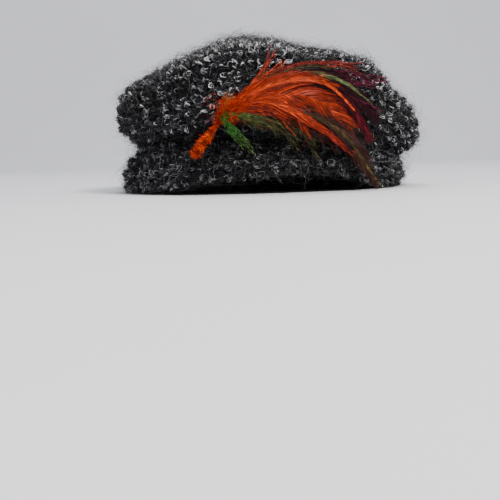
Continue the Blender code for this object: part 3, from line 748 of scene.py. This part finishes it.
def feather(front, row):
    """One feather: barbs that leave the shaft at a low lean and follow its curve, and the shaft."""
    shift = rng.normal(0, row.spread, 6)
    marks = [
        (KNOT[0] + rng.normal(0, 0.01), KNOT[1] + rng.normal(0, 0.014)),
        (row.bend_x + shift[0] * 0.7, row.bend_z + shift[1] * 0.7),
        (row.sweep_x + shift[2], row.sweep_z + shift[3]),
        (row.tip_x + shift[4] * 1.4, row.tip_z + shift[5] * 1.4),
    ]
    line = curve_through(marks, LINE_POINTS) * np.array([VIEW_HALF, VIEW_TALL])
    steps = np.linalg.norm(np.diff(line, axis=0), axis=1)
    length = steps.sum()
    share = np.concatenate([[0], np.cumsum(steps)]) / length
    slope = unit(np.gradient(line, axis=0))
    lift = rng.uniform(0, 0.0012)

    def place(along, aside, away):
        """Points at shares along the feather, distances aside and distances off the knit."""
        inside = np.clip(along, 0, 1)
        x, z = (np.interp(inside, share, column) for column in line.T)
        dx, dz = (np.interp(inside, share, column) for column in slope.T)
        past = (along - inside) * length
        x = x + dx * past - dz * aside
        z = z + dz * past + dx * aside
        fly = 0.001 + row.fly * (0.35 + 0.65 * np.sin(np.pi * inside ** 0.8)) + lift
        fly = fly + KNOT_DEPTH * np.clip(1 - inside * 3, 0, 1) ** 1.5
        return front.at(x / VIEW_HALF, z / VIEW_TALL, fly + away)

    count = max(12, int(length / BARB_PITCH * row.barbs))
    clumps = rng.normal(0, 1, (2, max(4, int(length / CLUMP_LENGTH)) + 2))
    paths, shades = [], []
    out = np.linspace(0, 1, len(BARB_TAPER))[None, :]
    for hand in (0, 1):
        start = np.sort(rng.uniform(0.0, 0.97, count))
        clump = np.interp(start * (clumps.shape[1] - 1), np.arange(clumps.shape[1]), clumps[hand])
        reach = row.width * np.clip(start / 0.25, 0.25, 1) ** 0.7 * (1 - start) ** row.point
        reach = reach * (1 + 0.22 * clump) * rng.uniform(0.55, 1.1, count)
        lean = row.lean * (1 + 0.12 * clump) * rng.uniform(0.85, 1.15, count)
        advance = np.minimum(reach / np.tan(lean) / length, 1.02 - start)
        along = start[:, None] + advance[:, None] * out
        aside = (1 if hand else -1) * reach[:, None] * out ** 0.85
        droop = -0.1 * np.abs(aside) + rng.normal(0, 0.0003, (count, 1))
        droop = droop + rng.normal(0, 0.0006, (count, 1)) * out ** 2
        paths.append(place(along, aside, droop))
        streak = 0.3 * np.interp(start * (STREAKS - 1), np.arange(STREAKS), rng.normal(0, 1, STREAKS))
        own = rng.normal(-0.1, 0.3, count) + np.where(rng.uniform(0, 1, count) < 0.22, -1.3, 0)
        tone = np.exp(streak + own)[:, None, None]
        shades.append(dyed(DYES[row.dye], along, np.repeat(out, count, 0)) * tone)
    shades = np.concatenate(shades) * rng.uniform(0.72, 1.05)
    shaft_share = np.linspace(0, 0.96, SHAFT_STATIONS)
    none = np.zeros(SHAFT_STATIONS)
    shaft = place(shaft_share, none, none + SHAFT_RADIUS)
    return np.concatenate(paths), shades, shaft, dyed(DYES[row.dye], shaft_share, none) * 0.75


def plume_layer(name, front, families, finish):
    """One layer of feathers: a piece with all barbs and a piece with all shafts."""
    grown = [feather(front, row) for row in families for _ in range(row.count)]
    paths, shades = (np.concatenate([item[column] for item in grown]) for column in (0, 1))
    facing = unit(np.array(EYE) - paths + 0.4 * (paths - np.array([0, 0.02, 0.05])))
    facing = unit(facing + rng.normal(0, 0.3, (len(paths), 1, 3)))
    widths = BARB_WIDTH * varied(0.7, 1.3, len(paths)) * BARB_TAPER
    rings = rings_along(paths, widths / 2, facing, FLAT)
    piece = bands(name, rings, shades[:, :, None], finish)
    shafts, shades = (np.stack([item[column] for item in grown]) for column in (2, 3))
    stout = np.array([min(1.0, row.width / 0.002) for row in families for _ in range(row.count)])
    radii = SHAFT_RADIUS * stout[:, None] * np.linspace(1.2, 0.2, SHAFT_STATIONS)
    angles = 2 * math.pi * (np.arange(SHAFT_SIDES) + 0.25) / SHAFT_SIDES
    rings = rings_along(shafts, radii, np.array([0.0, -1.0, 0.0]), angles)
    bands(name + "_shafts", rings, shades[:, :, None], finish, closed=True)
    return piece


def fluff(name, line, lengths, count, colours, lean, finish):
    """Short fine barbs that stand round a line, as on a hackle or a pipe of fluff."""
    share = rng.uniform(0, 1, count)
    stations = np.linspace(0, 1, len(line))
    spot = sampled(line, stations, share)
    ahead = unit(sampled(unit(np.gradient(line, axis=0)), stations, share))
    across = unit(np.cross(ahead, np.array([0.0, 0.0, 1.0])))
    over = np.cross(across, ahead)
    angle = varied(0, 2 * math.pi, count)
    away = across * np.cos(angle) + over * np.sin(angle)
    length = np.interp(share, stations, lengths)[:, None] * varied(0.55, 1.15, count)
    curl = rng.normal(0, 0.3, (count, 3))
    steps = []
    for step in np.linspace(0, 1, len(FLUFF_TAPER)):
        steps.append(spot + length * (away * step + ahead * lean * step ** 1.5 + curl * step * step))
    paths = np.stack(steps, 1)
    widths = FLUFF_WIDTH * varied(0.7, 1.3, count) * FLUFF_TAPER
    rings = rings_along(paths, widths / 2, unit(rng.normal(0, 1, (count, 1, 3))), FLAT)
    colours = picked(colours, count) * varied(0.65, 1.3, count)
    return bands(name, rings, colours[:, None, None], finish)


def middle_line(node, count):
    """Middle line of a long CAD node, from its upper end to its lower one."""
    points = np.array([vert.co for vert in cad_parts[node].data.vertices])
    centre = points.mean(0)
    axis = np.linalg.svd(points - centre, full_matrices=False)[2][0]
    axis = axis if axis[2] < 0 else -axis
    along = (points - centre) @ axis
    edges = np.linspace(along.min(), along.max(), count + 1)
    line = []
    for low, high in zip(edges[:-1], edges[1:]):
        inside = points[(along >= low - 1e-6) & (along <= high + 1e-6)]
        if len(inside) > 3:
            line.append(inside.mean(0))
    return np.array(line)


# Materials

def shader_of(name, roughness, specular=0.5):
    """New material, its node tree and its shader."""
    made = bpy.data.materials.new(name)
    made.use_nodes = True
    shader = made.node_tree.nodes["Principled BSDF"]
    shader.inputs["Roughness"].default_value = roughness
    shader.inputs["Specular IOR Level"].default_value = specular
    return made, made.node_tree, shader


def add_node(tree, kind, values=(), **inputs):
    """New shader node. Its inputs take a number or another node's output, in order or by name."""
    made = tree.nodes.new("ShaderNode" + kind)
    given = list(zip(made.inputs, values))
    given += [(made.inputs[name.replace("_", " ")], value) for name, value in inputs.items()]
    for socket, value in given:
        if isinstance(value, bpy.types.NodeSocket):
            tree.links.new(value, socket)
        else:
            socket.default_value = value
    return made


def calculate(tree, operation, *values):
    """Result of an operation on numbers or other nodes' outputs."""
    made = add_node(tree, "Math", values)
    made.operation = operation
    return made.outputs["Value"]


def kept_times(tree, factor):
    """The colour that is kept on the piece's points, times a colour or a value."""
    kept = add_node(tree, "Attribute")
    kept.attribute_name = "shade"
    mix = add_node(tree, "VectorMath", [kept.outputs["Color"]])
    mix.operation, place = ("MULTIPLY", 1) if factor.type == "RGBA" else ("SCALE", "Scale")
    tree.links.new(factor, mix.inputs[place])
    return mix.outputs["Vector"]


def noise(tree, scale, detail=3.0, roughness=0.55):
    """Noise over the object's own coordinates."""
    place = add_node(tree, "TexCoord").outputs["Object"]
    made = add_node(tree, "TexNoise", Vector=place, Scale=scale, Detail=detail, Roughness=roughness)
    return made.outputs["Fac"]


def remap(tree, value, low, high):
    """Noise, most of which lies from 0.3 to 0.7, spread from low to high."""
    made = add_node(tree, "MapRange", Value=value, From_Min=0.3, From_Max=0.7, To_Min=low, To_Max=high)
    return made.outputs["Result"]


def two_colours(tree, value, places, colours):
    """Colour that goes from the first to the second as the value goes from place to place."""
    made = add_node(tree, "ValToRGB", [value])
    for stop, place, colour in zip(made.color_ramp.elements, places, colours):
        stop.position = place
        stop.color = (*colour, 1)
    return made.outputs["Color"]


def bump(tree, shader, height, strength, distance):
    """Fine relief in the shading alone."""
    made = add_node(tree, "Bump", Height=height, Strength=strength, Distance=distance)
    tree.links.new(made.outputs["Normal"], shader.inputs["Normal"])


def shaded(name, roughness, speckle, specular):
    """Fibre whose colour is kept on its points and broken up by fine noise."""
    made, tree, shader = shader_of(name, roughness, specular)
    flecks = remap(tree, noise(tree, speckle), 0.65, 1.35)
    gloss = remap(tree, noise(tree, speckle * 0.5), roughness - 0.1, roughness + 0.1)
    tree.links.new(kept_times(tree, flecks), shader.inputs["Base Color"])
    tree.links.new(gloss, shader.inputs["Roughness"])
    return made


def streaked():
    """Bands of yarn with pale and dark strands drawn along them."""
    made, tree, shader = shader_of("curled_yarn", 0.5, 0.08)
    sheet = add_node(tree, "UVMap")
    sheet.uv_map = "OFBake"
    stretch = add_node(tree, "VectorMath", [sheet.outputs["UV"], (CELLS_ACROSS * 1.6, CELLS_ACROSS * 6.5, 1)])
    stretch.operation = "MULTIPLY"
    drawn = add_node(tree, "TexNoise", Vector=stretch.outputs["Vector"], Scale=1.0, Detail=2.0)
    streak = drawn.outputs["Fac"]
    tree.links.new(kept_times(tree, remap(tree, streak, 0.25, 2.1)), shader.inputs["Base Color"])
    bump(tree, shader, streak, 0.8, 0.0006)
    return made


def knit_base():
    """Dark felted yarn under the curls, with rings of paler fibre."""
    made, tree, shader = shader_of("knit_base", 0.85, 0.03)
    place = add_node(tree, "TexCoord").outputs["Object"]
    rings = add_node(tree, "TexVoronoi", Vector=place, Scale=210).outputs["Distance"]
    waves = calculate(tree, "SINE", calculate(tree, "MULTIPLY", rings, 26))
    fibre = calculate(tree, "MULTIPLY_ADD", waves, 0.16, noise(tree, 420, 5.0, 0.7))
    colour = two_colours(tree, fibre, (0.42, 0.8), ((0.0015, 0.0015, 0.002), (0.035, 0.034, 0.037)))
    tree.links.new(kept_times(tree, colour), shader.inputs["Base Color"])
    bump(tree, shader, fibre, 0.9, 0.0008)
    return made


# Pieces

def off_front(turn):
    """Turns off the front, from -0.5 round the left to 0.5 round the right."""
    return np.mod(turn + 0.5, 1) - 0.5


def gains(turn, tone_shifts):
    """What each row of tone shift adds at the turns."""
    return [row.gain * hump(off_front(turn), row.middle, row.width) for row in tone_shifts]


def after_tone_shifts(pale, turn, tone_shifts):
    """Paleness after the tone shifts, which paint light and shade as well as paler and darker yarn."""
    for gain in gains(turn, tone_shifts):
        pale = pale * (1 + gain)
    return pale


def crown_pieces(base, curled, strand):
    """Knitted crown: outer face, inner face and the yarn on them."""
    tree = tree_of("crown")
    angles = np.radians(np.linspace(-67, 66, 90))
    outer = Knit(settled(crown_side_and_top(tree, True, angles, 60, 108)))
    inside_angles = np.radians(np.linspace(-78, 62, 60))
    inner = Knit(settled(crown_side_and_top(tree, False, inside_angles, 30, 36)), sink=INNER_SINK)
    skin = bumpy(outer)
    turns, climbs = skin.shape[:2]
    inner_climbs = inner.grid.shape[1]
    points = np.concatenate([skin.reshape(-1, 3), inner.grid.reshape(-1, 3)])
    start = turns * climbs
    faces = [grid_faces(turns, climbs), grid_faces(turns, inner_climbs, start, flip=True)]
    low = np.arange(turns) * climbs
    low_inner = start + np.arange(turns) * inner_climbs
    faces.append(np.stack([low, low_inner, np.roll(low_inner, -1), np.roll(low, -1)], 1))
    # The inner face is drawn paler, partly as painted light in the shaded hollow.
    shades = np.ones((len(points), 3))
    shades[start:] = INSIDE_BRIGHTER
    mesh = build_mesh("crown_knit", points, np.concatenate(faces), shades)
    piece = new_object("crown_knit", mesh, base)
    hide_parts("crown")
    turn, climb, pale = outer.stitches(BAND_CLIMB, 0.985)
    # Painted light: the yarn is drawn paler higher up the crown, where the light from above falls, and the
    # highlight rows grow with the height.
    high = np.clip((climb - BAND_CLIMB - 0.1) / 0.25, 0, 1)
    highlight_and_patch = sum(gains(turn, CROWN_HIGHLIGHT_AND_PATCH))
    pale = after_tone_shifts(pale * (0.55 + 0.4 * high + highlight_and_patch * (0.2 + 1.15 * high)), turn, CROWN_SHADE_AND_DARK_YARN)
    # Painted shade: yarn on faces that look up is drawn darker, as the top of the crown takes less light.
    normal = outer.at(turn, climb)[3]
    pale = pale * (1 - 0.35 * np.clip((normal[:, 2] - 0.6) / 0.3, 0, 1))
    # Painted shade: the yarn is drawn darker towards the foot of the crown, in the groove above the brim.
    pale = pale * np.clip((climb - BAND_CLIMB) / 0.07, 0.05, 1)
    curls("crown_curls", outer, (turn, climb, pale), curled)
    strands("crown_strands", outer, (turn, climb, pale), strand, 1.0, 0.68)
    return outer


def brim_pieces(base, curled, strand):
    """Knitted roll round the band."""
    grid = brim_ring(tree_of("rolled_brim"), 48)
    above = grid[..., 2] - BRIM_SHEAR_HEIGHT
    left = np.clip(-grid[..., 0] / HEAD_HALF.x, 0, 1) ** 2
    grid[..., 0] += BRIM_SHEAR * above + PINCH_SLOPE * np.maximum(above, 0) * left
    ring = Knit(grid, closed=True)
    skin = bumpy(ring)
    turns, climbs = skin.shape[:2]
    faces = grid_faces(turns, climbs, closed=True)
    mesh = build_mesh("brim_knit", skin.reshape(-1, 3), faces, np.ones((turns * climbs, 3)))
    piece = new_object("brim_knit", mesh, base)
    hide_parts("rolled_brim")
    turn, climb, pale = ring.stitches(0.32, 1.0)
    # Painted light and shade: the brim's yarn is drawn paler off the front at both sides, and darker at the
    # front under the plume.
    pale = pale * (1.05 + 0.7 * np.clip((np.abs(off_front(turn)) - 0.04) / 0.08, 0, 1))
    pale = after_tone_shifts(pale, turn, BRIM_LIT_LEFT_DARK_RIGHT)
    curls("brim_curls", ring, (turn, climb, pale), curled, 0.8)
    strands("brim_strands", ring, (turn, climb, pale), strand, 0.58, 0.3)
    return ring


# Lengths of the stem's fluff along it, and the colours of the fluff with their shares.
STEM_REACH = [(0, 0.0018), (0.2, 0.0016), (0.45, 0.0036), (0.68, 0.0022), (0.85, 0.0036), (1, 0.0026)]
STEM_COLOURS = [
    ((0.8, 0.055, 0.003), 0.36),
    ((0.42, 0.012, 0.002), 0.28),
    ((0.92, 0.13, 0.01), 0.1),
    ((0.06, 0.13, 0.015), 0.08),
    ((0.06, 0.004, 0.002), 0.18),
]
HACKLE_REACH = np.array([0.0045, 0.0078, 0.00675])
HACKLE_COLOURS = [
    ((0.6, 0.032, 0.003), 0.42),
    ((0.26, 0.01, 0.002), 0.33),
    ((0.05, 0.15, 0.012), 0.07),
    ((0.75, 0.07, 0.005), 0.18),
]


def plume_pieces(barb, fuzz):
    """Feathers over the front of the knit, their binding and the fluffy stem."""
    front = HatFront(tree_of("crown", "rolled_brim"))
    piece = plume_layer("plume_lower", front, LOWER_FEATHERS, barb)
    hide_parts("plume")
    plume_layer("plume_upper", front, UPPER_FEATHERS, barb)
    stem = middle_line("plume_stem", 9)
    lengths = np.interp(np.linspace(0, 1, len(stem)), *zip(*STEM_REACH))
    piece = fluff("stem_fluff", stem, lengths, STEM_BARBS, STEM_COLOURS, 0.35, fuzz)
    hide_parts("plume_stem")
    centre = front.at(*(np.array([value]) for value in (*KNOT, 0.004)))[0]
    binding = np.vstack([stem[0], centre, centre + np.array([0.007, -0.001, 0.003])])
    fluff("knot_hackle", binding, HACKLE_REACH, KNOT_BARBS, HACKLE_COLOURS, 0.5, fuzz)


# Camera, light and floor

FOCAL_PIXELS = 1136
PHOTO_SIZE = 500
SENSOR = 36
PITCH = math.radians(5.02)
ROLL = math.radians(-1.57)
FLOOR_HALF = 4.0
WALL_START = 1.2
WALL_BEND = 0.9
WALL_HEIGHT = 3.0

Light = namedtuple("Light", "name place target size power colour")
LIGHTS = [
    Light("key", (0.5, -1.05, 1.1), (0, 0, 0.05), 0.5, 36, (1.0, 0.98, 0.96)),
    Light("fill", (-1.1, -0.9, 0.6), (0, 0, 0.05), 0.9, 3.5, (0.93, 0.96, 1.0)),
    Light("rim", (-0.2, 0.9, 1.1), (0, 0, 0.08), 0.8, 3, (1.0, 1.0, 1.0)),
    Light("backdrop", (0.0, 0.3, 2.6), (0, 2.1, 0.6), 1.2, 42, (0.97, 0.98, 1.0)),
]
SKY = (0.93, 0.95, 1.0, 1)
SKY_STRENGTH = 0.38


def camera():
    data = bpy.data.cameras.new("camera")
    data.sensor_width = SENSOR
    data.lens = SENSOR * FOCAL_PIXELS / PHOTO_SIZE
    data.clip_start = 0.01
    made = linked("camera", data)
    tilt = Matrix.Rotation(math.pi / 2 - PITCH, 4, "X") @ Matrix.Rotation(ROLL, 4, "Z")
    made.matrix_world = Matrix.Translation(EYE) @ tilt
    bpy.context.scene.camera = made


def area_light(light):
    """Round soft light that looks at its target."""
    data = bpy.data.lights.new(light.name, "AREA")
    data.shape = "DISK"
    data.size = light.size
    data.energy = light.power
    data.color = light.colour
    made = linked(light.name, data)
    made.location = light.place
    made.rotation_euler = (Vector(light.target) - Vector(light.place)).to_track_quat("-Z", "Y").to_euler()


def studio():
    """Pale seamless floor that rises behind the hat, and soft light."""
    made, tree, shader = shader_of("pale_floor", 0.8)
    colour = two_colours(tree, noise(tree, 3.0), (0, 1), ((0.68, 0.68, 0.71), (0.72, 0.72, 0.75)))
    tree.links.new(colour, shader.inputs["Base Color"])
    profile = [(-FLOOR_HALF, 0.0), (WALL_START, 0.0)]
    for angle in np.linspace(0.1, math.pi / 2, 12):
        profile.append((WALL_START + WALL_BEND * math.sin(angle), WALL_BEND - WALL_BEND * math.cos(angle)))
    profile.append((WALL_START + WALL_BEND, WALL_HEIGHT))
    points = np.array([(x, y, z) for y, z in profile for x in (-FLOOR_HALF, FLOOR_HALF)])
    index = np.arange(len(profile) - 1) * 2
    faces = np.stack([index, index + 1, index + 3, index + 2], 1)
    mesh = build_mesh("floor", points, faces)
    mesh.materials.append(made)
    floor = linked("floor", mesh)
    world = bpy.data.worlds.new("studio")
    world.use_nodes = True
    sky = world.node_tree.nodes["Background"].inputs
    sky["Color"].default_value = SKY
    sky["Strength"].default_value = SKY_STRENGTH
    bpy.context.scene.world = world
    for light in LIGHTS:
        area_light(light)


def dress():
    base = knit_base()
    curled = streaked()
    strand = shaded("yarn_strand", 0.4, 700, 0.12)
    hair = shaded("mohair_hair", 0.6, 300, 0.1)
    barb = shaded("feather_barb", 0.45, 260, 0.12)
    fuzz = shaded("hackle_fuzz", 0.6, 400, 0.1)
    outer = crown_pieces(base, curled, strand)
    ring = brim_pieces(base, curled, strand)
    halo("mohair_halo", [(outer, CROWN_HAIRS, BAND_CLIMB, 1.0), (ring, BRIM_HAIRS, 0.3, 0.97)], hair)
    plume_pieces(barb, fuzz)


dress()
camera()
studio()
